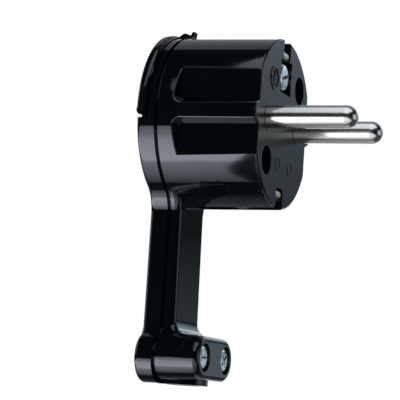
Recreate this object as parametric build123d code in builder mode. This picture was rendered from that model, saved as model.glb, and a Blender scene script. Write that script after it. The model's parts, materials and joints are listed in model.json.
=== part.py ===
"""Angled two-pin earthed mains plug with a long cable arm and a hinged pull bow.

Frame: origin in the middle of the pin face, +X out of the face along the pins,
+Z up, the cable arm hanging down along -Z. All sizes are in millimetres.
"""
import os
from math import cos, hypot, radians, sin, tan

from build123d import *

# Contact pins
pin_d = 4.8
pin_len = 19.0
pin_pitch = 19.0
pin_flat_r = 0.05
pin_seat = 0.3

# Head, from the pin face back to the seam, and the cover behind the seam
head_r = 18.0
head_len = 21.2
head_draft = 0.22
rim_r = 0.45
seam_gap = 0.8
seam_land = 1.3
cover_t = 4.0
back_edge_r = 1.0
wall = 2.0
face_wall = 2.4

# Arm between the head and the cable block
arm_w = 14.4
arm_front = 2.05
arm_lean = 0.9
arm_edge_r = 1.2
arm_root_r = 3.0
arm_root_sink = 0.3
neck_r = 6.0
channel_w = 9.6
channel_front = 0.9
channel_back = 2.6

# Cable block at the lower end of the arm
block_drop = 49.9
block_w = 22.2
block_h = 9.8
block_len = 9.35
block_draft = 3.0
block_edge_r = 1.2
block_neck_r = 2.6
cable_front = 2.5
cable_r = 3.75
bore_roof = 0.9
collar_wall = 1.45
collar_drop = 0.9
collar_root = 0.8

# Side recesses of the head, with a rib left standing on the pin line
recess_depth = 2.25
recess_len = 17.3
recess_corner_r = 1.0
recess_draft = 20.0
recess_rim_r = 0.3
rib_half = 2.45

# Earth grooves, earth strip and its terminal
groove_w = 3.9
groove_depth = 3.8
groove_end_gap = 1.2
groove_wall = 1.0
groove_edge = 0.3
slot_step = 0.6
window_w = 7.0
window_h = 7.1
strip_t = 0.8
strip_w = 3.4
strip_bow = 1.9
strip_bend_r = 1.0
strip_nose_r = 0.15
strip_nose_gap = 0.25
strip_leg_gap = 0.1
strip_mid = 5.9
strip_arm = 12.3
strip_lift = 0.7
pad_t = 0.7
pad_edge = 0.5
pad_end = 1.0
passage_gap = 0.3
passage_edge = 0.2
earth_block_w = 6.4
earth_block_h = 5.6
earth_block_l = 5.0
earth_head_r = 3.05
earth_head_sink = 0.2

# Screws, wells and threaded inserts
well_edge = 4.98
well_angle = 43.4
well_wall = 1.2
well_depth = 14.0
clamp_web = 0.3
clamp_depth = 2.9
head_gap = 0.25
screw_head_r = 2.75
screw_head_h = 2.0
screw_edge = 0.4
screw_point = 0.5
screw_r = 1.5
cross_len = 3.6
cross_w = 0.8
cross_depth = 1.1
insert_r = 2.0
insert_len = 3.0
insert_proud = 1.4
thread_gap = 0.05
fit_gap = 0.1

# Pin terminals
terminal_r = 3.2
terminal_len = 13.1
terminal_chamfer = 0.3
wire_hole_r = 1.5
wire_hole_in = 7.2
terminal_screw_r = 1.7
terminal_head_r = 2.6
terminal_head_h = 1.8
socket_wall = 1.2
socket_len = 5.0
post_r = 2.0
post_gap = 0.2

# Pull bow
bow_proud = 0.4
bow_w = 3.2
bow_t = 2.2
bow_gap = 0.3
bow_front_gap = 0.5
bow_back_edge_r = 0.8
bow_front_edge = 0.4
trunnion_r = 0.8
trunnion_len = 1.6
trunnion_gap = 0.06
trunnion_end_gap = 0.3
notch = 0.5
tab_len = 2.75
tab_crown = 0.7
tab_base_w = 15.0
tab_tip_w = 2.0
tab_lift = 0.55
tab_t = 0.9
tab_root = 0.6
tab_dip = 0.4
lip_h = 0.35
lip_t = 0.4

# How far a cut runs past the surface it opens, and how near counts as the same place
overcut = 1.0
near = 0.01

# Head and cover
seam_r = head_r + head_draft
seam_x = -head_len
cover_front_x = seam_x - seam_gap
back_x = cover_front_x - cover_t
inner_r = head_r - wall
recess_y = head_r - recess_depth
recess_end_x = -recess_len - recess_depth * tan(radians(recess_draft))
inner_y = recess_y - wall
cavity_depth = head_len - face_wall

# Arm and cable block
arm_front_x = seam_x + arm_front
block_z = -block_drop
block_top = block_z + block_h / 2
block_bottom = block_z - block_h / 2
block_front_x = seam_x + block_len
cable_x = seam_x + cable_front
collar_r = cable_r + collar_wall
collar_bottom = block_bottom - collar_drop
collar_len = collar_drop + collar_root
bore_len = block_top - bore_roof - collar_bottom
arm_top_x = arm_front_x - head_r * tan(radians(arm_lean))
root_z = block_top - arm_root_sink
root_x = arm_front_x - (head_r + root_z) * tan(radians(arm_lean))
root_end_x = root_x + arm_root_r + arm_root_sink

# Earth path
groove_floor = head_r - groove_depth
slot_end = groove_floor - slot_step
window_bottom = slot_end - window_h
earth_screw_z = slot_end - window_h / 2
strip_front_x = -face_wall - pad_t
strip_web_x = strip_front_x - strip_t
strip_bend_z = groove_floor + strip_lift
strip_leg_z = slot_end + strip_leg_gap + strip_t
strip_nose_x = -strip_nose_gap - strip_t
groove_len = strip_arm - strip_web_x + groove_end_gap
passage_len = pad_t + strip_t + passage_gap

# Screws and terminals
well_r = screw_head_r + head_gap
well_y = (head_r - well_edge) * cos(radians(well_angle))
well_z = (head_r - well_edge) * sin(radians(well_angle))
clamp_y = cable_r + clamp_web + insert_r + fit_gap
insert_x = seam_x + insert_proud
screw_tip_x = insert_x - insert_len + thread_gap
pin_seat_r = pin_d / 2 + pin_seat
wire_hole_x = -face_wall - wire_hole_in
terminal_end_x = -face_wall - terminal_len
post_end_x = terminal_end_x - terminal_head_h - post_gap
post_base_x = seam_x - channel_back

# Pull bow and its seat
bow_outer_r = seam_r + bow_proud
bow_inner_r = bow_outer_r - bow_w
disc_r = bow_inner_r - bow_gap
channel_top = 2 * wall - disc_r
channel_len = channel_top - block_z
hinge_x = back_x + bow_t / 2
bow_front_x = back_x + bow_t
ledge_x = bow_front_x + bow_front_gap
notch_z = -bow_t / 2 - notch
bearing_depth = trunnion_len - bow_gap + trunnion_end_gap
tab_under_r = seam_r + tab_lift
tab_top_r = tab_under_r + tab_t
tab_tip_x = bow_front_x + tab_len
tab_crown_x = bow_front_x + tab_crown
tab_back_x = back_x + bow_back_edge_r
lip_x = tab_tip_x - 2 * lip_t

# Places across the face, as Y and Z
wells = [(-well_y, -well_z), (well_y, well_z)]
clamps = [(-clamp_y, block_z), (clamp_y, block_z)]
pins = [(-pin_pitch / 2, 0), (pin_pitch / 2, 0)]
sides = ("left", "right")

os.makedirs("parts", exist_ok=True)


def face_plane(x):
    """Plane across the plug at depth x, with local axes along Y and Z."""
    return Plane.YZ.offset(x)


def handle_outline(x, inset=0.0, skirt=0.0):
    """Outline of head, arm and block, drawn in by an inset or with a deeper block."""
    with BuildSketch(face_plane(x)) as outline:
        Circle(seam_r)
        Rectangle(arm_w, block_drop, align=(Align.CENTER, Align.MAX))
        with Locations((0, block_z - skirt / 2)):
            SlotOverall(block_w, block_h + skirt)
        on_arm = outline.vertices().filter_by(lambda corner: abs(abs(corner.X) - arm_w / 2) < near)
        fillet(on_arm.group_by(Axis.Y)[-1], neck_r)
        # Growing and shrinking the outline rounds the inner corners at the block
        offset(amount=block_neck_r, kind=Kind.ARC, mode=Mode.REPLACE)
        offset(amount=-block_neck_r, kind=Kind.ARC, mode=Mode.REPLACE)
        if inset:
            offset(amount=-inset, mode=Mode.REPLACE)
    return outline.sketch


def on_round(point):
    """Tell whether a point lies on the drafted round of the head."""
    return abs(hypot(point.Y, point.Z) - head_r - head_draft * point.X / arm_front_x) < near


def on_recess_rim(edge):
    """Tell whether an edge lies where a wall of a side recess meets the round of the head."""
    middle = edge @ 0.5
    return on_round(middle) and recess_end_x < middle.X < -near and abs(middle.Y) > recess_y + recess_rim_r


def on_groove_rim(edge):
    """Tell whether an edge lies where a side of an earth groove meets the round of the head."""
    middle = edge @ 0.5
    return on_round(middle) and abs(abs(middle.Y) - groove_w / 2) < near


def cavity_outline(x):
    """Inside of the head between the recesses, clear of wells and earth grooves."""
    with BuildSketch(face_plane(x)) as outline:
        Circle(inner_r)
        Rectangle(2 * inner_y, 2 * inner_r, mode=Mode.INTERSECT)
        with Locations(*wells):
            Circle(well_r + well_wall, mode=Mode.SUBTRACT)
        for side in (-1, 1):
            with Locations((0, side * (groove_floor - groove_wall + inner_r) / 2)):
                Rectangle(
                    groove_w + 2 * groove_wall,
                    inner_r - groove_floor + groove_wall,
                    mode=Mode.SUBTRACT,
                )
    return outline.sketch


def screw(seat_x, y, z, tip_x, shank_r, cap_r=screw_head_r, cap_h=screw_head_h):
    """Cross-recess screw along X, its head seated at seat_x and facing +X."""
    with BuildPart() as fastener:
        with BuildSketch(face_plane(seat_x)):
            with Locations((y, z)):
                Circle(cap_r)
        extrude(amount=cap_h)
        chamfer(fastener.faces().sort_by(Axis.X)[-1].edges(), screw_edge)
        with BuildSketch(face_plane(seat_x)):
            with Locations((y, z)):
                Circle(shank_r)
        extrude(amount=tip_x - seat_x)
        chamfer(fastener.faces().sort_by(Axis.X)[0].edges(), screw_point)
        with BuildSketch(face_plane(seat_x + cap_h)):
            with Locations((y, z)):
                Rectangle(cross_len, cross_w)
                Rectangle(cross_w, cross_len)
        extrude(amount=-cross_depth, mode=Mode.SUBTRACT)
    return fastener


def threaded_insert(y, z):
    """Brass sleeve moulded into the back cover for one screw."""
    with BuildPart() as sleeve:
        with BuildSketch(face_plane(insert_x)):
            with Locations((y, z)):
                Circle(insert_r)
                Circle(screw_r + thread_gap, mode=Mode.SUBTRACT)
        extrude(amount=-insert_len)
    return sleeve


def save(piece, name):
    """Label a finished piece and write it to its own file."""
    piece.part.label = name
    export_step(piece.part, f"parts/{name}.step")


# Front housing: head, front half of the arm and the cable block in one moulding
with BuildPart() as front_housing:
    # Front half of the arm: it leans forward, sweeps out into the block and has round edges
    with BuildSketch(Plane.XZ) as arm_side:
        with BuildLine():
            Polyline(
                (seam_x, 0),
                (arm_top_x, 0),
                (root_x, root_z),
                (root_end_x, root_z),
                (root_end_x, block_z),
                (seam_x, block_z),
                close=True,
            )
        make_face()
        fillet(arm_side.vertices().sort_by_distance((root_x, root_z))[0], arm_root_r)
    extrude(amount=seam_r, both=True)
    extrude(handle_outline(seam_x), amount=root_end_x - seam_x, mode=Mode.INTERSECT)
    arm_edges = front_housing.edges().filter_by(
        lambda edge: all(
            point.X > seam_x + near and abs(point.Y) > arm_w / 2 - near and point.Z > root_z + near
            for point in (edge @ 0.1, edge @ 0.5, edge @ 0.9)
        )
    )
    fillet(arm_edges, arm_edge_r)

    # Cable block, straight beside the arm and drafted in front of it
    with BuildSketch(face_plane(seam_x)):
        with Locations((0, block_z)):
            SlotOverall(block_w, block_h)
    extrude(amount=arm_front)
    with BuildSketch(face_plane(arm_front_x)):
        with Locations((0, block_z)):
            SlotOverall(block_w, block_h)
    extrude(amount=block_front_x - arm_front_x, taper=block_draft)
    fillet(front_housing.faces().sort_by(Axis.X)[-1].edges(), block_edge_r)

    # Round head with a slight draft
    with BuildSketch(Plane.XZ):
        with BuildLine():
            Polyline(
                (seam_x, 0),
                (seam_x, seam_r),
                (arm_front_x, seam_r),
                (0, head_r),
                (0, 0),
                close=True,
            )
        make_face()
    revolve(axis=Axis.X)

    # Side recesses that run out of the round, leaving a rib on the pin line, then the rounded rims
    for side in (Plane.XZ, -Plane.XZ):
        with BuildSketch(side.offset(recess_y)) as recess:
            for level in (-1, 1):
                with Locations(((overcut - recess_len) / 2, level * (head_r + rib_half) / 2)):
                    Rectangle(recess_len + overcut, head_r - rib_half)
            ends = recess.vertices().group_by(Axis.X)[0]
            fillet(ends, recess_corner_r)
        extrude(amount=recess_depth + overcut, taper=-recess_draft, mode=Mode.SUBTRACT)
    fillet(front_housing.edges().filter_by(on_recess_rim), recess_rim_r)
    fillet(front_housing.faces().sort_by(Axis.X)[-1].edges(), rim_r)

    # Hollow head, open to the seam
    extrude(cavity_outline(seam_x), amount=cavity_depth, mode=Mode.SUBTRACT)

    # Wire channel in the arm
    with BuildSketch(face_plane(seam_x)):
        with Locations((0, channel_top)):
            Rectangle(channel_w, channel_len, align=(Align.CENTER, Align.MAX))
    extrude(amount=channel_front, mode=Mode.SUBTRACT)

    # Screw wells with a floor that carries the screw head
    with BuildSketch(face_plane(0)):
        with Locations(*wells):
            Circle(well_r)
    extrude(amount=-well_depth, mode=Mode.SUBTRACT)
    with BuildSketch(face_plane(seam_x)):
        with Locations(*wells):
            Circle(screw_r + fit_gap)
    extrude(amount=head_len, mode=Mode.SUBTRACT)

    # Seats for the ends of the threaded inserts that stand out of the cover
    with BuildSketch(face_plane(seam_x)):
        with Locations(*wells, *clamps):
            Circle(insert_r + fit_gap)
    extrude(amount=insert_proud + fit_gap, mode=Mode.SUBTRACT)

    # Earth grooves, their face slots and the passage for the strip
    with BuildSketch(face_plane(0)):
        for side in (-1, 1):
            with Locations((0, side * (groove_floor + seam_r + overcut) / 2)):
                Rectangle(groove_w, seam_r + overcut - groove_floor)
    extrude(amount=-groove_len, mode=Mode.SUBTRACT)
    chamfer(front_housing.edges().filter_by(on_groove_rim), groove_edge)
    with BuildSketch(face_plane(0)):
        for side in (-1, 1):
            with Locations((0, side * (slot_end + groove_floor + overcut) / 2)):
                Rectangle(groove_w, slot_step + overcut)
        with Locations((0, earth_screw_z)):
            Rectangle(window_w, window_h)
    extrude(amount=-face_wall, mode=Mode.SUBTRACT)
    with BuildSketch(face_plane(-face_wall)):
        for side in (-1, 1):
            with Locations((0, side * groove_floor)):
                Rectangle(groove_w, 2 * (groove_wall + passage_edge))
    extrude(amount=-passage_len, mode=Mode.SUBTRACT)

    # Pad that the earth strip lies on and sockets that hold the pins
    with BuildSketch(face_plane(-face_wall)):
        with Locations((0, (window_bottom - slot_end) / 2)):
            Rectangle(strip_w + 2 * pad_edge, window_bottom + slot_end - 2 * pad_end)
    extrude(amount=-pad_t)
    with BuildSketch(face_plane(-face_wall)):
        with Locations(*pins):
            Circle(terminal_r + fit_gap + socket_wall)
            Circle(terminal_r + fit_gap, mode=Mode.SUBTRACT)
    extrude(amount=-socket_len)
    with BuildSketch(face_plane(0)):
        with Locations(*pins):
            Circle(pin_seat_r + fit_gap)
    extrude(amount=-face_wall, mode=Mode.SUBTRACT)

    # Cable collar, bore and clamp screw holes
    with BuildSketch(Plane.XY.offset(collar_bottom)):
        with Locations((cable_x, 0)):
            Circle(collar_r)
    extrude(amount=collar_len)
    with BuildSketch(Plane.XY.offset(collar_bottom)):
        with Locations((cable_x, 0)):
            Circle(cable_r)
    extrude(amount=bore_len, mode=Mode.SUBTRACT)
    with Locations(*[face_plane(block_front_x) * Location((y, z)) for y, z in clamps]):
        CounterBoreHole(screw_r + fit_gap, well_r, clamp_depth, depth=block_len)
save(front_housing, "front_housing")

# Back cover: closes head, arm and block, and carries the hinge of the bow
with BuildPart() as back_cover:
    extrude(handle_outline(back_x, skirt=collar_drop), amount=cover_t)
    fillet(back_cover.faces().sort_by(Axis.X)[0].edges(), back_edge_r)
    extrude(handle_outline(cover_front_x, seam_land), amount=seam_gap)

    # Half-ring step at the upper rim where the bow folds in
    with BuildSketch(face_plane(back_x)):
        with Locations((0, notch_z)):
            Rectangle(2 * bow_outer_r, bow_outer_r - notch_z, align=(Align.CENTER, Align.MIN))
        Circle(disc_r, mode=Mode.SUBTRACT)
    extrude(amount=ledge_x - back_x, mode=Mode.SUBTRACT)

    # Hollow inside, with towers left standing for the threaded inserts
    with BuildSketch(face_plane(seam_x)):
        Circle(disc_r - wall)
        with Locations((0, channel_top)):
            Rectangle(channel_w, channel_len, align=(Align.CENTER, Align.MAX))
        with Locations(*wells):
            Circle(insert_r + well_wall, mode=Mode.SUBTRACT)
    extrude(amount=-channel_back, mode=Mode.SUBTRACT)
    with BuildSketch(face_plane(seam_x)):
        with Locations(*wells, *clamps):
            Circle(insert_r)
    extrude(amount=insert_proud - insert_len, mode=Mode.SUBTRACT)

    # Posts that keep the pins from being pushed back
    with BuildSketch(face_plane(post_base_x)):
        with Locations(*pins):
            Circle(post_r)
    extrude(amount=post_end_x - post_base_x)

    # Cable bore, room for the collar and the bearings of the trunnions
    with BuildSketch(Plane.XY.offset(collar_bottom)):
        with Locations((cable_x, 0)):
            Circle(cable_r)
    extrude(amount=bore_len, mode=Mode.SUBTRACT)
    with BuildSketch(Plane.XY.offset(collar_bottom)):
        with Locations((cable_x, 0)):
            Circle(collar_r + fit_gap)
    extrude(amount=collar_len + fit_gap, mode=Mode.SUBTRACT)
    for side in (Plane.XZ, -Plane.XZ):
        with BuildSketch(side.offset(disc_r)):
            with Locations((hinge_x, 0)):
                Circle(trunnion_r + trunnion_gap)
        extrude(amount=-bearing_depth, mode=Mode.SUBTRACT)
save(back_cover, "back_cover")

# Thumb tab of the bow: a curved tongue over the head with an upturned lip
with BuildPart() as thumb_tab:
    with BuildSketch(Plane.XZ):
        with BuildLine():
            Spline(
                (tab_back_x, bow_outer_r - tab_dip),
                (tab_crown_x, tab_top_r),
                (lip_x, tab_top_r - tab_dip),
                tangents=((1, 0.3), (1, -0.3)),
            )
            Polyline(
                (lip_x, tab_top_r - tab_dip),
                (tab_tip_x - lip_t, tab_top_r + lip_h),
                (tab_tip_x, tab_top_r + lip_h),
                (tab_tip_x - lip_t / 2, tab_under_r),
                (bow_front_x - tab_root / 2, tab_under_r),
                (bow_front_x - tab_root, bow_outer_r - tab_root),
                (tab_back_x, bow_outer_r - tab_root),
                (tab_back_x, bow_outer_r - tab_dip),
            )
        make_face()
    revolve(axis=Axis.X)
    with BuildSketch(Plane.XY):
        with BuildLine():
            Line((tab_tip_x, 0), (tab_tip_x, tab_tip_w / 2))
            Line((tab_tip_x, tab_tip_w / 2), (lip_x, tab_tip_w / 2))
            TangentArc(
                (lip_x, tab_tip_w / 2),
                (bow_front_x, tab_base_w / 2),
                tangent=(-1, 0),
            )
            Line((bow_front_x, tab_base_w / 2), (back_x, tab_base_w / 2))
            Line((back_x, tab_base_w / 2), (back_x, 0))
            mirror(about=Plane.XZ)
        make_face()
    extrude(amount=2 * bow_outer_r, mode=Mode.INTERSECT)

# Pull bow: half ring with a thumb tab, hung on two trunnions
with BuildPart() as pull_bow:
    with BuildSketch(face_plane(back_x)):
        Circle(bow_outer_r)
        Circle(bow_inner_r, mode=Mode.SUBTRACT)
        Rectangle(2 * bow_outer_r, bow_outer_r, align=(Align.CENTER, Align.MIN), mode=Mode.INTERSECT)
    extrude(amount=bow_t)
    outer_edges = pull_bow.edges().filter_by(GeomType.CIRCLE)
    outer_edges = outer_edges.filter_by(lambda edge: edge.radius > bow_inner_r + bow_gap)
    fillet(outer_edges.sort_by(Axis.X)[0], bow_back_edge_r)
    front_edges = pull_bow.edges().filter_by(GeomType.CIRCLE).group_by(Axis.X)[-1]
    chamfer(front_edges.sort_by(SortBy.RADIUS)[-1], bow_front_edge)

    # Rounded ends about the hinge axis, and the trunnions inside them
    for side in (Plane.XZ, -Plane.XZ):
        with BuildSketch(side.offset(bow_inner_r)):
            with Locations((hinge_x, 0)):
                Circle(bow_t / 2)
        extrude(amount=bow_w - bow_back_edge_r / 2)
        with BuildSketch(side.offset(bow_inner_r)):
            with Locations((hinge_x, 0)):
                Circle(trunnion_r)
        extrude(amount=-trunnion_len)
    add(thumb_tab.part)
save(pull_bow, "pull_bow")

# Contact pins: domed shank, seat in the face wall, shoulder and pillar terminal behind it
for side, (y, z) in zip(sides, pins):
    with BuildPart() as pin:
        with BuildSketch(face_plane(terminal_end_x)):
            with Locations((y, z)):
                Circle(terminal_r)
        extrude(amount=terminal_len)
        with BuildSketch(face_plane(-face_wall)):
            with Locations((y, z)):
                Circle(pin_seat_r)
        extrude(amount=face_wall)
        with BuildSketch(face_plane(0)):
            with Locations((y, z)):
                Circle(pin_d / 2)
        extrude(amount=pin_len)
        fillet(pin.faces().sort_by(Axis.X)[-1].edges(), pin_d / 2 - pin_flat_r)
        chamfer(pin.faces().sort_by(Axis.X)[0].edges(), terminal_chamfer)
        with BuildSketch(face_plane(terminal_end_x)):
            with Locations((y, z)):
                Circle(terminal_screw_r + thread_gap)
        extrude(amount=wire_hole_x - terminal_end_x, mode=Mode.SUBTRACT)
        with BuildSketch(Plane.XY.offset(-terminal_r)):
            with Locations((wire_hole_x, y)):
                Circle(wire_hole_r)
        extrude(amount=2 * terminal_r, mode=Mode.SUBTRACT)
    save(pin, f"contact_pin_{side}")

# Terminal screws, driven into the pins from behind
for side, (y, z) in zip(sides, pins):
    with BuildPart() as terminal_screw:
        with BuildSketch(face_plane(terminal_end_x)):
            with Locations((y, z)):
                Circle(terminal_head_r)
        extrude(amount=-terminal_head_h)
        chamfer(terminal_screw.faces().sort_by(Axis.X)[0].edges(), screw_edge)
        with BuildSketch(face_plane(terminal_end_x)):
            with Locations((y, z)):
                Circle(terminal_screw_r)
        extrude(amount=wire_hole_x - wire_hole_r - terminal_end_x)
        with BuildSketch(face_plane(terminal_end_x - terminal_head_h)):
            with Locations((y, z)):
                Rectangle(cross_w, 2 * terminal_head_r)
        extrude(amount=cross_depth, mode=Mode.SUBTRACT)
    save(terminal_screw, f"terminal_screw_{side}")

# Earth strip: web behind the face, side arms bowed outward in the grooves
with BuildPart() as earth_strip:
    with BuildSketch(Plane.XZ):
        with BuildLine():
            FilletPolyline(
                (strip_web_x, 0),
                (strip_web_x, strip_leg_z),
                (strip_nose_x, strip_leg_z),
                (strip_nose_x, strip_bend_z),
                (strip_web_x - strip_mid, strip_bend_z + strip_bow),
                (strip_web_x - strip_arm, strip_bend_z),
                radius=(strip_bend_r, strip_nose_r, strip_nose_r, strip_bend_r),
            )
            offset(amount=strip_t, side=Side.RIGHT)
        make_face()
        mirror(about=Plane.XZ)
    extrude(amount=strip_w / 2, both=True)
    with BuildSketch(face_plane(strip_web_x)):
        with Locations((0, earth_screw_z)):
            Rectangle(earth_block_w, earth_block_h)
    extrude(amount=strip_t)
    with BuildSketch(face_plane(strip_web_x)):
        with Locations((0, earth_screw_z)):
            Circle(terminal_screw_r + fit_gap)
    extrude(amount=strip_t, mode=Mode.SUBTRACT)
save(earth_strip, "earth_strip")

# Earth terminal: brass block behind the strip, clamped by a screw from the face
with BuildPart() as earth_block:
    with BuildSketch(face_plane(strip_web_x)):
        with Locations((0, earth_screw_z)):
            Rectangle(earth_block_w, earth_block_h)
    extrude(amount=-earth_block_l)
    with BuildSketch(face_plane(strip_web_x)):
        with Locations((0, earth_screw_z)):
            Circle(terminal_screw_r + thread_gap)
    extrude(amount=-earth_block_l, mode=Mode.SUBTRACT)
    with BuildSketch(Plane.XY.offset(earth_screw_z - earth_block_h / 2)):
        with Locations((strip_web_x - earth_block_l / 2, 0)):
            Circle(wire_hole_r)
    extrude(amount=earth_block_h / 2, mode=Mode.SUBTRACT)
save(earth_block, "earth_block")

earth_screw_tip_x = strip_web_x - earth_block_l / 2 + wire_hole_r
earth_screw = screw(
    strip_front_x,
    0,
    earth_screw_z,
    earth_screw_tip_x,
    terminal_screw_r,
    earth_head_r,
    -earth_head_sink - strip_front_x,
)
save(earth_screw, "earth_screw")

# Screws that hold the two housing halves together, and their inserts
for place, (y, z) in zip(("lower", "upper"), wells):
    housing_screw = screw(-well_depth, y, z, screw_tip_x, screw_r)
    save(housing_screw, f"housing_screw_{place}")
    save(threaded_insert(y, z), f"housing_insert_{place}")
for side, (y, z) in zip(sides, clamps):
    clamp_screw = screw(block_front_x - clamp_depth, y, z, screw_tip_x, screw_r)
    save(clamp_screw, f"clamp_screw_{side}")
    save(threaded_insert(y, z), f"clamp_insert_{side}")
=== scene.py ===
"""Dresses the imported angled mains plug: finishes, screws, moulded marks, studio and camera.

The frame is the part's own: origin in the middle of the pin face, +X out of the face along
the pins, +Z up, the cable arm hanging down along -Z. Lengths are in metres, unless a name
ends in _mm.
"""
from __future__ import annotations

import json
import logging
import math
from dataclasses import dataclass
from enum import Enum
from typing import Any

import bmesh
import bpy
from mathutils import Matrix, Vector

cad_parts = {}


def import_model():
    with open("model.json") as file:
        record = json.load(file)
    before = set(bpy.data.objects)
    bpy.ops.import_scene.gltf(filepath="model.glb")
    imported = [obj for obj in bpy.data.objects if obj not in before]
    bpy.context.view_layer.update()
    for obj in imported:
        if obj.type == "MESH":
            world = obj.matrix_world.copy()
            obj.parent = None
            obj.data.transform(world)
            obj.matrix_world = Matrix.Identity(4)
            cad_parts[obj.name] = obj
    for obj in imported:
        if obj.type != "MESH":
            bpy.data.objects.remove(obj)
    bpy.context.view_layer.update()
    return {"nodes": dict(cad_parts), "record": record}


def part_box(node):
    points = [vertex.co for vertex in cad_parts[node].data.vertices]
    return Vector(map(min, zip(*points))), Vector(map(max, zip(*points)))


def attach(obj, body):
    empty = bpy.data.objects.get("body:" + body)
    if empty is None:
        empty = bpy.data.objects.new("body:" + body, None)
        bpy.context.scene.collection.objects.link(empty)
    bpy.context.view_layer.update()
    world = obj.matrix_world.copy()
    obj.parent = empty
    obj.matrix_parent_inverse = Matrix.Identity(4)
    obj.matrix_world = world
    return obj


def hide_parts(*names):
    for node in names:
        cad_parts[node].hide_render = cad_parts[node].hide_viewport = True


LOG = logging.getLogger("plug")
MM = 0.001
SHARP_ANGLE = math.radians(32.0)
SAME_PLACE = 1e-7
SAME_RADIUS = 1e-6
CUT_SNAP = 1e-8
ORIGIN = (0.0, 0.0, 0.0)

Pair = tuple[float, float]
Point = tuple[float, float, float]
Colour = tuple[float, float, float]
Stops = tuple[Pair, ...]
Shape = bmesh.types.BMesh
Socket = bpy.types.NodeSocket


class Axis(Enum):
    """Axes of the part's frame, with their directions."""

    X = (1.0, 0.0, 0.0)
    Y = (0.0, 1.0, 0.0)
    Z = (0.0, 0.0, 1.0)


class Side(Enum):
    """Sides of the part along Y, near the camera and far from it."""

    NEAR = -1
    FAR = 1


class Body(Enum):
    """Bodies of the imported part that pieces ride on."""

    PLUG = "plug_body"
    BOW = "bow"


class Slot(Enum):
    """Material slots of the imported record."""

    HOUSING = "housing"
    BOW = "bow"
    PIN = "pin"
    EARTH = "earth"
    SCREW = "screw"
    INSERT = "insert"


Finishes = dict[Slot, bpy.types.Material]


class NodeTree:
    """Small helper that adds and joins shader nodes in one tree."""

    def __init__(self, tree: bpy.types.NodeTree) -> None:
        """Hold the tree of a material, group, lamp or world, and empty it."""
        self.tree = tree
        self.tree.nodes.clear()

    def add(self, kind: str, **settings: object) -> bpy.types.Node:
        """Add a node.

        Args:
            kind: Blender's type name of the node.
            settings: Node properties, set by name.

        Returns:
            The new node.
        """
        node = self.tree.nodes.new(kind)
        for key, value in settings.items():
            setattr(node, key, value)
        return node

    def join(self, source: Socket, target: Socket) -> None:
        """Link an output to an input."""
        self.tree.links.new(source, target)

    def place(self) -> Socket:
        """Read the place on the piece, in the part's own frame."""
        return self.add("ShaderNodeTexCoord").outputs["Object"]

    def coordinate(self, vector: Socket, axis: Axis) -> Socket:
        """Take one coordinate out of a vector.

        Args:
            vector: The vector.
            axis: The coordinate's axis.

        Returns:
            The coordinate.
        """
        node = self.add("ShaderNodeSeparateXYZ")
        self.join(vector, node.inputs["Vector"])
        return node.outputs[axis.name]

    def spread(
        self, source: Socket, low: float, high: float, start: float = 0.0, end: float = 1.0
    ) -> Socket:
        """Map a value from one range onto another, and hold it there.

        Args:
            source: The value to map.
            low: What the start of its range becomes.
            high: What the end of its range becomes.
            start: Start of its range.
            end: End of its range.

        Returns:
            The mapped value.
        """
        node = self.add("ShaderNodeMapRange")
        limits = {"From Min": start, "From Max": end, "To Min": low, "To Max": high}
        for entry, value in limits.items():
            node.inputs[entry].default_value = value
        self.join(source, node.inputs["Value"])
        return node.outputs["Result"]

    def around(self, source: Socket, middle: float, reach: float) -> Socket:
        """Map a value from the range 0 to 1 onto a range around a middle value."""
        return self.spread(source, middle - reach, middle + reach)

    def blend(self, factor: Socket, low: Socket, high: Socket) -> Socket:
        """Blend two values by a factor.

        Args:
            factor: 0 gives the first value and 1 the second.
            low: The first value.
            high: The second value.

        Returns:
            The blended value.
        """
        node = self.add("ShaderNodeMix", data_type="FLOAT")
        self.join(factor, node.inputs["Factor"])
        self.join(low, node.inputs["A"])
        self.join(high, node.inputs["B"])
        return node.outputs["Result"]

    def shades(self, factor: Socket, colour: Colour, low: float, high: float) -> Socket:
        """Blend two shades of one colour by a factor.

        Args:
            factor: 0 gives the first shade and 1 the second.
            colour: The colour.
            low: What the first shade multiplies it by.
            high: What the second shade multiplies it by.

        Returns:
            The blended colour.
        """
        node = self.add("ShaderNodeMix", data_type="RGBA")
        for entry, level in (("A", low), ("B", high)):
            node.inputs[entry].default_value = (*[level * part for part in colour], 1.0)
        self.join(factor, node.inputs["Factor"])
        return node.outputs["Result"]

    def noise(self, place: Socket, scale: Socket, detail: float) -> Socket:
        """Add a cloudy pattern.

        Args:
            place: Where on the piece it is read.
            scale: How many clouds there are to a metre.
            detail: How many finer layers it has.

        Returns:
            The pattern's value.
        """
        node = self.add("ShaderNodeTexNoise", noise_dimensions="3D")
        node.inputs["Detail"].default_value = detail
        self.join(place, node.inputs["Vector"])
        self.join(scale, node.inputs["Scale"])
        return node.outputs["Fac"]

    def bump(self, height: Socket, distance: float, normal: Socket | None = None) -> Socket:
        """Bend a normal by a pattern of heights.

        Args:
            height: The pattern, from 0 to 1.
            distance: Height that 1 stands for.
            normal: The normal to bend, or none for the surface's own.

        Returns:
            The bent normal.
        """
        node = self.add("ShaderNodeBump")
        node.inputs["Distance"].default_value = distance
        self.join(height, node.inputs["Height"])
        if normal is not None:
            self.join(normal, node.inputs["Normal"])
        return node.outputs["Normal"]


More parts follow.
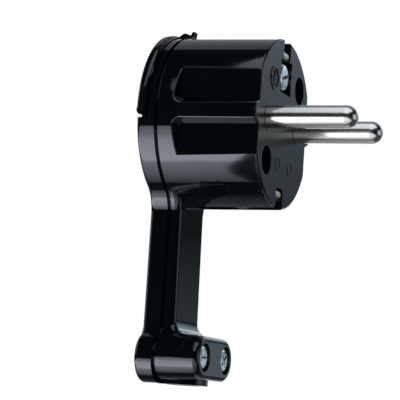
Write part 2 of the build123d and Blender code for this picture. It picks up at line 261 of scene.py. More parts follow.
def new_group(
    name: str, entries: dict[str, float], exits: tuple[str, ...]
) -> tuple[NodeTree, bpy.types.Node, bpy.types.Node]:
    """Make a shader node group with value sockets.

    Args:
        name: Name of the group.
        entries: Inputs and their values to start with.
        exits: Names of the outputs.

    Returns:
        The group's nodes, its input node and its output node.
    """
    group = bpy.data.node_groups.new(name, "ShaderNodeTree")
    for entry, value in entries.items():
        socket = group.interface.new_socket(entry, in_out="INPUT", socket_type="NodeSocketFloat")
        socket.default_value = value
    for leave in exits:
        group.interface.new_socket(leave, in_out="OUTPUT", socket_type="NodeSocketFloat")
    nodes = NodeTree(group)
    return nodes, nodes.add("NodeGroupInput"), nodes.add("NodeGroupOutput")


def moulded_grain_group(detail: float = 2.0) -> bpy.types.NodeTree:
    """Build the group that makes the slight unevenness of moulded plastic and of metal.

    Args:
        detail: How many finer layers the patterns have.

    Returns:
        A group with Ripple Scale and Speckle Scale in, and Ripple and Speckle out.
    """
    scales = {"Ripple Scale": 60.0, "Speckle Scale": 4000.0}
    nodes, entry, leave = new_group("moulded_grain", scales, ("Ripple", "Speckle"))
    place = nodes.place()
    for name in ("Ripple", "Speckle"):
        pattern = nodes.noise(place, entry.outputs[f"{name} Scale"], detail)
        nodes.join(pattern, leave.inputs[name])
    return nodes.tree


def pin_face_group() -> bpy.types.NodeTree:
    """Build the group that tells the pin face from the rest of the moulding.

    Returns:
        A group with Start and End in, places along X, and Mask out.
    """
    nodes, entry, leave = new_group("pin_face", {"Start": -0.1 * MM, "End": -0.02 * MM}, ("Mask",))
    limit = nodes.add("ShaderNodeMapRange")
    nodes.join(nodes.coordinate(nodes.place(), Axis.X), limit.inputs["Value"])
    nodes.join(entry.outputs["Start"], limit.inputs["From Min"])
    nodes.join(entry.outputs["End"], limit.inputs["From Max"])
    nodes.join(limit.outputs["Result"], leave.inputs["Mask"])
    return nodes.tree


def turned_lines_group(squeeze: float = 0.02, detail: float = 3.0) -> bpy.types.NodeTree:
    """Build the group that makes the fine rings left by turning along X.

    Args:
        squeeze: What places across the axis are multiplied by, to draw the pattern out into rings.
        detail: How many finer layers the pattern has.

    Returns:
        A group with Scale in, and Rings out.
    """
    nodes, entry, leave = new_group("turned_lines", {"Scale": 6000.0}, ("Rings",))
    drawn = nodes.add("ShaderNodeMapping")
    drawn.inputs["Scale"].default_value = (1.0, squeeze, squeeze)
    nodes.join(nodes.place(), drawn.inputs["Vector"])
    rings = nodes.noise(drawn.outputs["Vector"], entry.outputs["Scale"], detail)
    nodes.join(rings, leave.inputs["Rings"])
    return nodes.tree


def new_material(name: str) -> tuple[bpy.types.Material, NodeTree, bpy.types.Node]:
    """Make a material with one plain shader.

    Args:
        name: Name of the material.

    Returns:
        The material, its nodes and its shader.
    """
    made = bpy.data.materials.new(name)
    made.use_nodes = True
    nodes = NodeTree(made.node_tree)
    shader = nodes.add("ShaderNodeBsdfPrincipled")
    leave = nodes.add("ShaderNodeOutputMaterial")
    nodes.join(shader.outputs["BSDF"], leave.inputs["Surface"])
    return made, nodes, shader


@dataclass(frozen=True)
class Groups:
    """The shader node groups that the finishes share."""

    grain: bpy.types.NodeTree
    face: bpy.types.NodeTree
    rings: bpy.types.NodeTree


@dataclass(frozen=True)
class PlasticFinish:
    """Black moulded plastic: polished, with a satin pin face."""

    name: str
    colour: Colour
    roughness: float
    satin: float
    roughness_spread: float = 0.02
    darkest: float = 0.7
    lightest: float = 1.3
    ripple_height: float = 9e-6
    speckle_height: float = 3e-6
    ripple_scale: float = 90.0
    speckle_scale: float = 5000.0
    block_z: float = -44.5 * MM
    block_blend: float = 1.0 * MM
    block_lean: float = 0.052

    def material(self, groups: Groups) -> bpy.types.Material:
        """Make the shader.

        Args:
            groups: The shared node groups.

        Returns:
            The new material.
        """
        made, nodes, shader = new_material(self.name)
        grain = nodes.add("ShaderNodeGroup", node_tree=groups.grain)
        grain.inputs["Ripple Scale"].default_value = self.ripple_scale
        grain.inputs["Speckle Scale"].default_value = self.speckle_scale
        ripple, speckle = grain.outputs["Ripple"], grain.outputs["Speckle"]
        face = nodes.add("ShaderNodeGroup", node_tree=groups.face).outputs["Mask"]
        colour = nodes.shades(ripple, self.colour, self.darkest, self.lightest)
        nodes.join(colour, shader.inputs["Base Color"])
        gloss = nodes.around(speckle, self.roughness, self.roughness_spread)
        satin = nodes.around(speckle, self.satin, self.roughness_spread)
        nodes.join(nodes.blend(face, gloss, satin), shader.inputs["Roughness"])
        rippled = nodes.bump(ripple, self.ripple_height, self.leant(nodes))
        eroded = nodes.add("ShaderNodeMath", operation="MULTIPLY")
        nodes.join(speckle, eroded.inputs[0])
        nodes.join(face, eroded.inputs[1])
        normal = nodes.bump(eroded.outputs["Value"], self.speckle_height, rippled)
        nodes.join(normal, shader.inputs["Normal"])
        return made

    def leant(self, nodes: NodeTree) -> Socket:
        """Lean the shading of the cable block back by its mould draft, so it mirrors one even band.

        Args:
            nodes: The material's nodes.

        Returns:
            The leant normal.
        """
        height = nodes.coordinate(nodes.place(), Axis.Z)
        below = nodes.spread(height, 0.0, 1.0, self.block_z, self.block_z - self.block_blend)
        surface = nodes.add("ShaderNodeNewGeometry")
        lean = nodes.add("ShaderNodeVectorMath", operation="MULTIPLY_ADD")
        lean.inputs[1].default_value = (-self.block_lean, 0.0, 0.0)
        nodes.join(below, lean.inputs[0])
        nodes.join(surface.outputs["Normal"], lean.inputs[2])
        unit = nodes.add("ShaderNodeVectorMath", operation="NORMALIZE")
        nodes.join(lean.outputs["Vector"], unit.inputs[0])
        return unit.outputs["Vector"]


@dataclass(frozen=True)
class MetalFinish:
    """Plated or plain metal with faint rings from turning."""

    name: str
    colour: Colour
    roughness: float
    roughness_spread: float
    ring_height: float
    ring_scale: float = 6000.0
    blotch_scale: float = 700.0
    darkest: float = 0.9
    lightest: float = 1.0

    def material(self, groups: Groups) -> bpy.types.Material:
        """Make the shader.

        Args:
            groups: The shared node groups.

        Returns:
            The new material.
        """
        made, nodes, shader = new_material(self.name)
        shader.inputs["Metallic"].default_value = 1.0
        lines = nodes.add("ShaderNodeGroup", node_tree=groups.rings)
        lines.inputs["Scale"].default_value = self.ring_scale
        rings = lines.outputs["Rings"]
        blotch = nodes.add("ShaderNodeGroup", node_tree=groups.grain)
        blotch.inputs["Ripple Scale"].default_value = self.blotch_scale
        colour = nodes.shades(blotch.outputs["Ripple"], self.colour, self.darkest, self.lightest)
        nodes.join(colour, shader.inputs["Base Color"])
        roughness = nodes.around(rings, self.roughness, self.roughness_spread)
        nodes.join(roughness, shader.inputs["Roughness"])
        nodes.join(nodes.bump(rings, self.ring_height), shader.inputs["Normal"])
        return made


PLUG_BLACK = (0.0014, 0.0024, 0.003)
FINISHES: dict[Slot, PlasticFinish | MetalFinish] = {
    Slot.HOUSING: PlasticFinish("gloss_black_plastic", PLUG_BLACK, roughness=0.05, satin=0.3),
    Slot.BOW: PlasticFinish("bow_black_plastic", PLUG_BLACK, roughness=0.1, satin=0.1),
    Slot.PIN: MetalFinish(
        "bright_nickel", (0.64, 0.62, 0.58), roughness=0.21, roughness_spread=0.04, ring_height=1e-7
    ),
    Slot.SCREW: MetalFinish(
        "blue_zinc", (0.9, 0.95, 0.98), roughness=0.2, roughness_spread=0.08, ring_height=1e-6
    ),
    Slot.EARTH: MetalFinish(
        "tinned_brass", (0.82, 0.78, 0.6), roughness=0.3, roughness_spread=0.05, ring_height=5e-7
    ),
    Slot.INSERT: MetalFinish(
        "plain_brass", (0.78, 0.57, 0.25), roughness=0.22, roughness_spread=0.05, ring_height=5e-7
    ),
}


def add_object(name: str, data: bpy.types.ID) -> bpy.types.Object:
    """Put a mesh, lamp or camera in the scene.

    Args:
        name: Name of the object.
        data: The mesh, lamp or camera.

    Returns:
        The new object, at the origin.
    """
    made = bpy.data.objects.new(name, data)
    bpy.context.scene.collection.objects.link(made)
    return made


@dataclass(frozen=True)
class Softbox:
    """Flat lamp that the polished plastic mirrors.

    It lies from its corner along two directions, and shines along the cross product of the
    second and the first. Its fade lists places on its length with their share of the brightness.
    """

    name: str
    corner: Point
    along: Point
    across: Point
    size: Pair
    radiance: float
    tint: Colour
    fade: Stops = ()

    def build(self) -> None:
        """Add the lamp, with its brightness fading along its length where stops are given."""
        data = bpy.data.lights.new(self.name, "AREA")
        data.shape = "RECTANGLE"
        data.size, data.size_y = self.size
        data.energy = self.radiance * self.size[0] * self.size[1] * math.pi
        data.color = self.tint
        if self.fade:
            self.grade(data)
        along, across = Vector(self.along).normalized(), Vector(self.across).normalized()
        middle = Vector(self.corner) + along * self.size[0] / 2 + across * self.size[1] / 2
        turn = Matrix((along, across, along.cross(across))).transposed()
        made = add_object(self.name, data)
        made.matrix_world = Matrix.LocRotScale(middle, turn.to_quaternion(), None)
        made.visible_camera = False

    def grade(self, data: bpy.types.AreaLight) -> None:
        """Fade the lamp's brightness along its length.

        Args:
            data: The lamp.
        """
        data.use_nodes = True
        nodes = NodeTree(data.node_tree)
        ramp = nodes.add("ShaderNodeValToRGB")
        stops = ramp.color_ramp.elements
        while len(stops) < len(self.fade):
            stops.new(1.0)
        for stop, (position, value) in zip(stops, self.fade):
            stop.position = position
            stop.color = (value, value, value, 1.0)
        where = nodes.add("ShaderNodeNewGeometry")
        glow = nodes.add("ShaderNodeEmission")
        leave = nodes.add("ShaderNodeOutputLight")
        nodes.join(nodes.coordinate(where.outputs["Parametric"], Axis.X), ramp.inputs["Fac"])
        nodes.join(ramp.outputs["Color"], glow.inputs["Strength"])
        nodes.join(glow.outputs["Emission"], leave.inputs["Surface"])


@dataclass(frozen=True)
class Studio:
    """Floor, room, lamps and camera."""

    # The camera's place and its three axes, fitted to the pins in the photograph.
    camera_place: Point = (0.12456, -0.37018, -0.06387)
    camera_right: Point = (0.93429, 0.35059, 0.06473)
    camera_up: Point = (-0.01825, -0.13429, 0.99077)
    camera_back: Point = (0.35605, -0.92685, -0.11906)
    lens_mm: float = 168.93
    sensor_mm: float = 36.0
    nearest: float = 0.01
    farthest: float = 20.0

    # The floor and the room are white to the camera alone. Other rays meet them dim.
    white: Colour = (1.0, 1.0, 1.0)
    floor_z: float = -0.42
    floor_half: float = 2.5
    floor_roughness: float = 0.9
    floor_lift: float = 0.8
    floor_seen: float = 0.9
    floor_mirrored: float = 0.08
    room_tint: Colour = (0.78, 1.0, 1.1)
    front_dim: float = 0.012
    back_dim: float = 0.031
    back_turn: float = 0.6
    horizon: float = 0.22
    horizon_span: Pair = (0.05, 0.1135)

    table_along: Point = (-0.11, -0.994, 0.0)
    table_across: Point = (-0.994, 0.11, 0.0)
    pale: Colour = (0.97, 1.0, 1.03)
    fill: Colour = (0.9, 1.0, 1.06)
    cool: Colour = (0.9, 1.0, 1.1)
    cold: Colour = (0.8, 1.0, 1.15)
    low_fade: Stops = (
        (0.0, 0.05), (0.042, 0.23), (0.12, 0.5), (0.145, 0.97), (0.36, 0.8), (0.5, 0.5), (1.0, 0.3)
    )
    table_fade: Stops = ((0.0, 0.05), (0.055, 0.4), (0.145, 0.95), (0.36, 1.0), (1.0, 0.6))
    wall_fade: Stops = ((0.0, 0.1), (0.4, 1.0), (1.0, 1.0))
    strip_fade: Stops = ((0.0, 0.9), (0.5, 1.0), (1.0, 0.3))
    side_fade: Stops = ((0.0, 0.5), (0.5, 1.0), (1.0, 0.5))
    lamps: tuple[Softbox, ...] = (
        Softbox(
            "low_box", corner=(-0.1288, 0.02, -0.4), along=table_along, across=table_across,
            size=(2.0, 1.5), radiance=6.0, tint=(0.92, 0.97, 1.12), fade=low_fade,
        ),
        Softbox(
            "table_glow", corner=(0.6797, -0.0685, -0.4), along=table_along, across=table_across,
            size=(2.0, 0.8), radiance=1.3, tint=(0.95, 0.99, 1.05), fade=table_fade,
        ),
        Softbox(
            "back_table", corner=(-0.8, 0.25, -0.4), along=Axis.Y.value, across=Axis.X.value,
            size=(1.2, 1.6), radiance=0.09, tint=(0.85, 1.0, 1.08),
        ),
        Softbox(
            "ceiling", corner=(-0.1535, 0.06, 0.5),
            along=(-0.122, -0.9925, 0.0), across=(0.9925, -0.122, 0.0),
            size=(1.0, 0.7), radiance=1.35, tint=cool,
        ),
        Softbox(
            "back_sky", corner=(-1.0, 0.17, 0.5), along=Axis.X.value, across=Axis.Y.value,
            size=(1.3, 1.0), radiance=0.32, tint=cool,
        ),
        Softbox(
            "right_wall", corner=(-0.1, 1.5, 0.19), along=Axis.Z.value, across=Axis.X.value,
            size=(0.8, 1.4), radiance=0.88, tint=cold, fade=wall_fade,
        ),
        Softbox(
            "low_wall", corner=(0.2, 1.5, -0.3), along=Axis.Z.value, across=Axis.X.value,
            size=(0.325, 1.0), radiance=0.25, tint=cold,
        ),
        Softbox(
            "left_wall", corner=(-0.8, 0.5, 0.0), along=(0.0, -1.0, 0.0), across=Axis.Z.value,
            size=(1.0, 0.6), radiance=0.8, tint=(0.88, 1.0, 1.08),
        ),
        Softbox(
            "backdrop", corner=(-0.726, 0.785, -0.39), along=Axis.Z.value, across=(0.927, 0.356, 0.0),
            size=(0.88, 0.8), radiance=0.95, tint=pale,
        ),
        Softbox(
            "pin_table", corner=(-0.116, 0.06, -0.4),
            along=(-0.173, 0.985, 0.0), across=(0.985, 0.173, 0.0),
            size=(0.9, 0.25), radiance=0.55, tint=pale,
        ),
        Softbox(
            "back_left_table", corner=(-2.2, 0.3, -0.4), along=Axis.Y.value, across=Axis.X.value,
            size=(1.4, 1.4), radiance=1.0, tint=fill, fade=side_fade,
        ),
        Softbox(
            "front_wall", corner=(1.4, -0.25, -0.35), along=Axis.Y.value, across=Axis.Z.value,
            size=(1.1, 0.8), radiance=0.9, tint=fill, fade=side_fade,
        ),
        Softbox(
            "front_strip", corner=(-0.2389, -0.7226, 0.5),
            along=(0.2516, 0.9678, 0.0), across=(-0.9678, 0.2516, 0.0),
            size=(0.351, 0.0975), radiance=1.0, tint=cool, fade=strip_fade,
        ),
    )

    def camera(self) -> None:
        """Place the camera where the photograph was taken from."""
        data = bpy.data.cameras.new("camera")
        data.lens = self.lens_mm
        data.sensor_width = self.sensor_mm
        data.clip_start = self.nearest
        data.clip_end = self.farthest
        turn = Matrix((self.camera_right, self.camera_up, self.camera_back)).transposed()
        made = add_object("camera", data)
        made.matrix_world = Matrix.LocRotScale(Vector(self.camera_place), turn.to_quaternion(), None)
        bpy.context.scene.camera = made

    def world(self) -> None:
        """Show white to the camera, and to other rays a dim room that is paler low at the back."""
        world = bpy.data.worlds.new("studio_world")
        world.use_nodes = True
        bpy.context.scene.world = world
        nodes = NodeTree(world.node_tree)
        shown = nodes.add("ShaderNodeBackground")
        shown.inputs["Color"].default_value = (*self.white, 1.0)
        room = nodes.add("ShaderNodeBackground")
        room.inputs["Color"].default_value = (*self.room_tint, 1.0)
        direction = nodes.add("ShaderNodeTexCoord").outputs["Generated"]
        behind = nodes.spread(nodes.coordinate(direction, Axis.Y), 0.0, 1.0, end=self.back_turn)
        upward = nodes.coordinate(direction, Axis.Z)
        wall = nodes.spread(upward, self.horizon, self.back_dim, *self.horizon_span)
        level = nodes.add("ShaderNodeMath", operation="MULTIPLY_ADD")
        nodes.join(behind, level.inputs[0])
        nodes.join(wall, level.inputs[1])
        level.inputs[2].default_value = self.front_dim
        nodes.join(level.outputs["Value"], room.inputs["Strength"])
        path = nodes.add("ShaderNodeLightPath")
        choose = nodes.add("ShaderNodeMixShader")
        leave = nodes.add("ShaderNodeOutputWorld")
        nodes.join(path.outputs["Is Camera Ray"], choose.inputs["Fac"])
        nodes.join(room.outputs["Background"], choose.inputs[1])
        nodes.join(shown.outputs["Background"], choose.inputs[2])
        nodes.join(choose.outputs["Shader"], leave.inputs["Surface"])

    def floor(self) -> None:
        """Lay a plain pale floor below the part, lifted to near white for the camera."""
        shape = bmesh.new()
        bmesh.ops.create_grid(shape, x_segments=1, y_segments=1, size=self.floor_half)
        bmesh.ops.translate(shape, verts=shape.verts, vec=(0.0, 0.0, self.floor_z))
        mesh = bpy.data.meshes.new("floor")
        shape.to_mesh(mesh)
        shape.free()
        material, nodes, shader = new_material("pale_floor")
        shader.inputs["Roughness"].default_value = self.floor_roughness
        shader.inputs["Emission Color"].default_value = (*self.white, 1.0)
        seen = nodes.add("ShaderNodeLightPath").outputs["Is Camera Ray"]
        colour = nodes.spread(seen, self.floor_mirrored, self.floor_seen)
        nodes.join(colour, shader.inputs["Base Color"])
        lift = nodes.spread(seen, 0.0, self.floor_lift)
        nodes.join(lift, shader.inputs["Emission Strength"])
        mesh.materials.append(material)
        made = add_object("floor", mesh)

    def build(self) -> None:
        """Set up everything round the part."""
        bpy.context.scene.view_settings.view_transform = "Standard"
        self.camera()
        self.world()
        self.floor()
        for lamp in self.lamps:
            lamp.build()
        LOG.info("set up the studio with %d lamps", len(self.lamps))


def add_piece(
    shape: Shape, name: str, slot: Slot, finishes: Finishes, body: Body = Body.PLUG
) -> bpy.types.Object:
    """Turn a finished bmesh into a piece that rides on a body.

    Args:
        shape: The bmesh, which is freed.
        name: Name of the piece.
        slot: Material slot that it takes its finish from.
        finishes: The materials by slot.
        body: Body that it rides on.

    Returns:
        The new object.
    """
    bmesh.ops.recalc_face_normals(shape, faces=shape.faces)
    for face in shape.faces:
        face.smooth = True
    mesh = bpy.data.meshes.new(name)
    shape.to_mesh(mesh)
    shape.free()
    mesh.set_sharp_from_angle(angle=SHARP_ANGLE)
    mesh.materials.append(finishes[slot])
    made = add_object(name, mesh)
    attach(made, body.value)
    LOG.info("built %s with %d faces", name, len(mesh.polygons))
    return made


def turned(shape: Shape, outline: tuple[Pair, ...], steps: int, closed: bool = False) -> None:
    """Spin an outline about the X axis into a turned body.

    Args:
        shape: The bmesh to add to.
        outline: Places along X with their radii, from one end of the body to the other.
        steps: Number of steps round the axis.
        closed: Whether the last place joins the first, as for a ring.
    """
    points = [shape.verts.new((x, 0.0, radius)) for x, radius in outline]
    ends = points[1:] + points[:1] if closed else points[1:]
    edges = [shape.edges.new(pair) for pair in zip(points, ends)]
    bmesh.ops.spin(
        shape, geom=points + edges, cent=ORIGIN, axis=Axis.X.value,
        angle=math.tau, steps=steps, use_merge=True,
    )
    bmesh.ops.remove_doubles(shape, verts=shape.verts, dist=SAME_PLACE)


def round_off(shape: Shape, edges: list[bmesh.types.BMEdge], radius: float, steps: int) -> None:
    """Round some edges of a shape.

    Args:
        shape: The bmesh that holds them.
        edges: The edges.
        radius: How far the rounding reaches from an edge.
        steps: Number of steps across the rounding.
    """
    bmesh.ops.bevel(
        shape, geom=edges, offset=radius, segments=steps, profile=0.5, affect="EDGES", material=-1
    )


def extruded(
    shape: Shape, faces: list[bmesh.types.BMFace], keep: bool = False
) -> list[bmesh.types.BMVert]:
    """Extrude faces without moving them yet.

    Args:
        shape: The bmesh that holds them.
        faces: The faces.
        keep: Whether they also stay, as the end cap of a rod.

    Returns:
        The new vertices.
    """
    grown = bmesh.ops.extrude_face_region(shape, geom=faces, use_keep_orig=keep)["geom"]
    return [item for item in grown if isinstance(item, bmesh.types.BMVert)]


def lies_at(item: bmesh.types.BMEdge | bmesh.types.BMFace, x: float) -> bool:
    """Tell whether an edge or a face lies flat at a place along X."""
    return all(abs(vert.co.x - x) < SAME_PLACE for vert in item.verts)


@dataclass(frozen=True)
class CrossScrew:
    """Pan-head screw with a tapered cross recess, in place of a plain packed one."""

    node: str
    shank_r: float = 1.5 * MM
    head_h: float = 2.0 * MM
    point: float = 0.5 * MM
    proud: float = 0.0
    dome: float = 0.9 * MM
    dome_steps: int = 6
    cross_len: float = 3.6 * MM
    cross_w: float = 0.75 * MM
    cross_depth: float = 1.2 * MM
    cross_taper: float = 0.5
    spin_deg: float = 20.0
    steps: int = 48

    def build(self, finishes: Finishes) -> None:
        """Model the screw where its node is.

        Args:
            finishes: The materials by slot.
        """
        low, high = (Vector(corner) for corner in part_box(self.node))
        middle = (low + high) / 2
        head_r = (high.z - low.z) / 2
        seat = high.x - self.head_h
        top = high.x + self.proud
        shape = bmesh.new()
        outline = (
            (low.x, 0.0),
            (low.x, self.shank_r - self.point),
            (low.x + self.point, self.shank_r),
            (seat, self.shank_r),
            (seat, head_r),
            (top, head_r),
            (top, 0.0),
        )
        turned(shape, outline, self.steps)
        rim = [
            edge for edge in shape.edges
            if lies_at(edge, top) and all(v.co.yz.length > head_r - SAME_RADIUS for v in edge.verts)
        ]
        round_off(shape, rim, self.dome, self.dome_steps)
        self.score(shape, top)
        self.recess(shape, top)
        spin = Matrix.Rotation(math.radians(self.spin_deg), 3, "X")
        bmesh.ops.rotate(shape, verts=shape.verts, cent=ORIGIN, matrix=spin)
        bmesh.ops.translate(shape, verts=shape.verts, vec=(0.0, middle.y, middle.z))
        made = add_piece(shape, f"cross_{self.node}", Slot.SCREW, finishes)
        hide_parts(self.node)

    def score(self, shape: Shape, top: float) -> None:
        """Cut the flat top of the head along the outline of the cross.

        Args:
            shape: The screw, standing on the X axis.
            top: Place of the flat top along X.
        """
        cuts = [
            (axis.value, place)
            for axis in (Axis.Y, Axis.Z)
            for reach in (self.cross_w / 2, self.cross_len / 2)
            for place in (-reach, reach)
        ]
        for axis, place in cuts:
            flat = [face for face in shape.faces if lies_at(face, top)]
            edges = {edge for face in flat for edge in face.edges}
            verts = {vert for face in flat for vert in face.verts}
            bmesh.ops.bisect_plane(
                shape, geom=[*flat, *edges, *verts], dist=CUT_SNAP,
                plane_co=Vector(axis) * place, plane_no=axis,
            )

    def recess(self, shape: Shape, top: float) -> None:
        """Sink the cross into the flat top of the head.

        Args:
            shape: The screw, standing on the X axis, with its top cut along the cross.
            top: Place of the flat top along X.
        """
        cross = []
        for face in shape.faces:
            here = face.calc_center_median()
            near, far = sorted((abs(here.y), abs(here.z)))
            if lies_at(face, top) and near < self.cross_w / 2 and far < self.cross_len / 2:
                cross.append(face)
        floor = extruded(shape, cross)
        bmesh.ops.delete(shape, geom=cross, context="FACES")
        bmesh.ops.translate(shape, verts=floor, vec=(-self.cross_depth, 0.0, 0.0))
        bmesh.ops.scale(shape, verts=floor, vec=(1.0, self.cross_taper, self.cross_taper))


SCREWS = (
    CrossScrew("clamp_screw_left", proud=0.6 * MM, spin_deg=15.0),
    CrossScrew("clamp_screw_right", proud=0.6 * MM, spin_deg=40.0),
    CrossScrew("housing_screw_lower", spin_deg=30.0),
    CrossScrew("housing_screw_upper", spin_deg=5.0),
    CrossScrew("earth_screw", shank_r=1.7 * MM, head_h=2.9 * MM, dome=1.1 * MM),
)


@dataclass(frozen=True)
class FaceMarks:
    """Moulded marks on the pin face: an earth sign in a ring, ejector marks and pin collars."""

    height: float = 0.22 * MM
    sink: float = 0.05 * MM
    line: float = 0.42 * MM
    edge_r: float = 0.1 * MM
    edge_steps: int = 3
    sign_y: float = -7.3 * MM
    sign_z: float = 8.6 * MM
    sign_r: float = 2.5 * MM
    stem_z: float = 0.85 * MM
    stem_len: float = 1.5 * MM
    bar_lens: tuple[float, ...] = (2.6 * MM, 1.7 * MM, 0.9 * MM)
    bar_w: float = 0.34 * MM
    bar_drop: float = 0.05 * MM
    bar_pitch: float = 0.62 * MM
    ejector_places: tuple[Pair, ...] = ((-2.2 * MM, -8.6 * MM), (5.8 * MM, -8.6 * MM))
    ejector_r: float = 1.5 * MM
    collar_radii: Pair = (2.42 * MM, 3.0 * MM)
    collar_h: float = 0.06 * MM
    pin_y: float = 9.5 * MM
    steps: int = 64

    def ring(self, shape: Shape, place: Pair, radii: Pair, top: float) -> None:
        """Add a flat ring with rounded edges on the face.

        Args:
            shape: The bmesh to add to.
            place: Y and Z of its middle.
            radii: Inner and outer radius.
            top: Height above the face.
        """
        inner, outer = radii
        part = bmesh.new()
        outline = ((-self.sink, inner), (top, inner), (top, outer), (-self.sink, outer))
        turned(part, outline, self.steps, closed=True)
        self.soften(part, top)
        self.join(part, shape, place)

    def bar(self, shape: Shape, place: Pair, size: Pair) -> None:
        """Add a raised bar with rounded edges on the face.

        Args:
            shape: The bmesh to add to.
            place: Y and Z of its middle.
            size: Its lengths along Y and Z.
        """
        part = bmesh.new()
        bmesh.ops.create_cube(part, size=1.0)
        bmesh.ops.scale(part, verts=part.verts, vec=(self.height + self.sink, *size))
        bmesh.ops.translate(part, verts=part.verts, vec=((self.height - self.sink) / 2, 0.0, 0.0))
        self.soften(part, self.height)
        self.join(part, shape, place)

    def soften(self, part: Shape, top: float) -> None:
        """Round the upper edges of a mark.

        Args:
            part: The mark.
            top: Height of the mark above the face.
        """
        upper = [edge for edge in part.edges if lies_at(edge, top)]
        round_off(part, upper, min(self.edge_r, top / 2), self.edge_steps)

    def join(self, part: Shape, shape: Shape, place: Pair) -> None:
        """Move a mark to its place and add it to the rest.

        Args:
            part: The mark, which is freed.
            shape: The bmesh to add to.
            place: Y and Z of its middle.
        """
        bmesh.ops.translate(part, verts=part.verts, vec=(0.0, *place))
        mesh = bpy.data.meshes.new("mark")
        part.to_mesh(mesh)
        part.free()
        shape.from_mesh(mesh)
        bpy.data.meshes.remove(mesh)

    def build(self, finishes: Finishes) -> None:
        """Model the marks and collars.

        Args:
            finishes: The materials by slot.
        """
        sign = bmesh.new()
        self.ring(sign, (self.sign_y, self.sign_z), (self.sign_r - self.line, self.sign_r), self.height)
        self.bar(sign, (self.sign_y, self.sign_z + self.stem_z), (self.line, self.stem_len))
        for step, length in enumerate(self.bar_lens):
            drop = self.bar_drop + self.bar_pitch * step
            self.bar(sign, (self.sign_y, self.sign_z - drop), (length, self.bar_w))
        add_piece(sign, "earth_sign", Slot.HOUSING, finishes)
        marks = bmesh.new()
        for place in self.ejector_places:
            self.ring(marks, place, (self.ejector_r - self.line / 2, self.ejector_r), self.height / 2)
        add_piece(marks, "ejector_marks", Slot.HOUSING, finishes)
        collars = bmesh.new()
        for side in Side:
            self.ring(collars, (side.value * self.pin_y, 0.0), self.collar_radii, self.collar_h)
        add_piece(collars, "pin_collars", Slot.HOUSING, finishes)


@dataclass(frozen=True)
class BowCrown:
    """Swelling of the pull bow towards its thumb tab, with rounded edges.

    It is an arc about an axis above the bow's own, so it runs out into the bow at both ends.
    """

    back_x: float = -25.97 * MM
    front_x: float = -23.85 * MM
    bow_r: float = 18.62 * MM
    rise: float = 0.34 * MM
    reach_deg: float = 75.0
    depth: float = 1.0 * MM
    edge_r: float = 0.65 * MM
    edge_steps: int = 5
    steps: int = 64

    def build(self, finishes: Finishes) -> None:
        """Model the swelling on the bow.

        Args:
            finishes: The materials by slot.
        """
        reach = math.radians(self.reach_deg)
        fall = self.bow_r * (1 - math.cos(reach))
        lift = self.rise * (self.rise + 2 * self.bow_r) / (2 * (fall + self.rise))
        top = self.bow_r + self.rise
        sweep = math.atan2(self.bow_r * math.sin(reach), self.bow_r * math.cos(reach) - lift)
        shape = bmesh.new()
        corners = (
            (self.back_x, 0.0, top - self.depth),
            (self.front_x, 0.0, top - self.depth),
            (self.front_x, 0.0, top),
            (self.back_x, 0.0, top),
        )
        start = shape.faces.new([shape.verts.new(corner) for corner in corners])
        middle = Vector((0.0, 0.0, lift))
        turn = Matrix.Rotation(-sweep, 3, "X")
        bmesh.ops.rotate(shape, verts=shape.verts, cent=middle, matrix=turn)
        bmesh.ops.spin(
            shape, geom=[start, *start.edges, *start.verts], cent=middle, axis=Axis.X.value,
            angle=2 * sweep, steps=self.steps,
        )
        bmesh.ops.remove_doubles(shape, verts=shape.verts, dist=SAME_PLACE)
        rim = [
            edge for edge in shape.edges
            if all((v.co - middle).yz.length > top - lift - SAME_RADIUS for v in edge.verts)
            and lies_at(edge, edge.verts[0].co.x)
        ]
        round_off(shape, rim, self.edge_r, self.edge_steps)
        add_piece(shape, "bow_crown", Slot.BOW, finishes, Body.BOW)


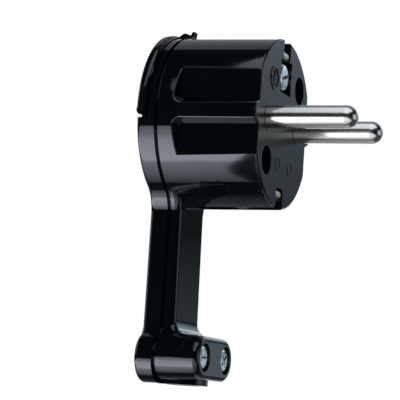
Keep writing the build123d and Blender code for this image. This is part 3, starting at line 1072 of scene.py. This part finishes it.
@dataclass(frozen=True)
class RecessLips:
    """Rounded lips along the upper creases of the side recesses, where floor and round meet."""

    lip_r: float = 0.5 * MM
    floor_y: float = 15.75 * MM
    head_r: float = 18.0 * MM
    head_draft: float = 0.22 * MM
    draft_len: float = 18.6 * MM
    front_x: float = -0.5 * MM
    back_x: float = -17.2 * MM
    steps: int = 64

    def crease_z(self, x: float) -> float:
        """Work out the height at which a recess floor meets the round, at a place along X."""
        round_r = self.head_r - self.head_draft * x / self.draft_len
        return math.sqrt(round_r**2 - self.floor_y**2)

    def lip(self, shape: Shape, side: Side) -> None:
        """Add one lip, a rod sunk in the wall so that only its rounding shows.

        Args:
            shape: The bmesh to add to.
            side: The side of the head.
        """
        start, end = (
            Vector((x, side.value * (self.floor_y - self.lip_r), self.crease_z(x)))
            for x in (self.front_x, self.back_x)
        )
        made = bmesh.ops.create_circle(shape, cap_ends=True, radius=self.lip_r, segments=self.steps)
        disc = made["verts"]
        turn = Matrix.Rotation(math.pi / 2, 3, "Y")
        bmesh.ops.rotate(shape, verts=disc, cent=ORIGIN, matrix=turn)
        bmesh.ops.translate(shape, verts=disc, vec=start)
        far = extruded(shape, [disc[0].link_faces[0]], keep=True)
        bmesh.ops.translate(shape, verts=far, vec=end - start)

    def build(self, finishes: Finishes) -> None:
        """Model the lips of both sides.

        Args:
            finishes: The materials by slot.
        """
        shape = bmesh.new()
        for side in Side:
            self.lip(shape, side)
        add_piece(shape, "recess_lips", Slot.HOUSING, finishes)


def make_finishes() -> Finishes:
    """Build the node groups and one material for each slot."""
    groups = Groups(moulded_grain_group(), pin_face_group(), turned_lines_group())
    return {slot: finish.material(groups) for slot, finish in FINISHES.items()}


def dress(frame: dict[str, Any], finishes: Finishes) -> None:
    """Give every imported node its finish.

    Args:
        finishes: The materials by slot.
    """
    for part in frame["record"]["subparts"]:
        node = frame["nodes"][part["node"]]
        node.data.materials.clear()
        node.data.materials.append(finishes[Slot(part["material_slot"])])
        LOG.info("dressed %s as %s", part["node"], part["material_slot"])


def main() -> None:
    """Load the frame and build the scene."""
    logging.basicConfig(level=logging.INFO, format="%(name)s: %(message)s")
    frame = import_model()
    Studio().build()
    finishes = make_finishes()
    dress(frame, finishes)
    for screw in SCREWS:
        screw.build(finishes)
    FaceMarks().build(finishes)
    BowCrown().build(finishes)
    RecessLips().build(finishes)


if __name__ == "__main__":
    main()
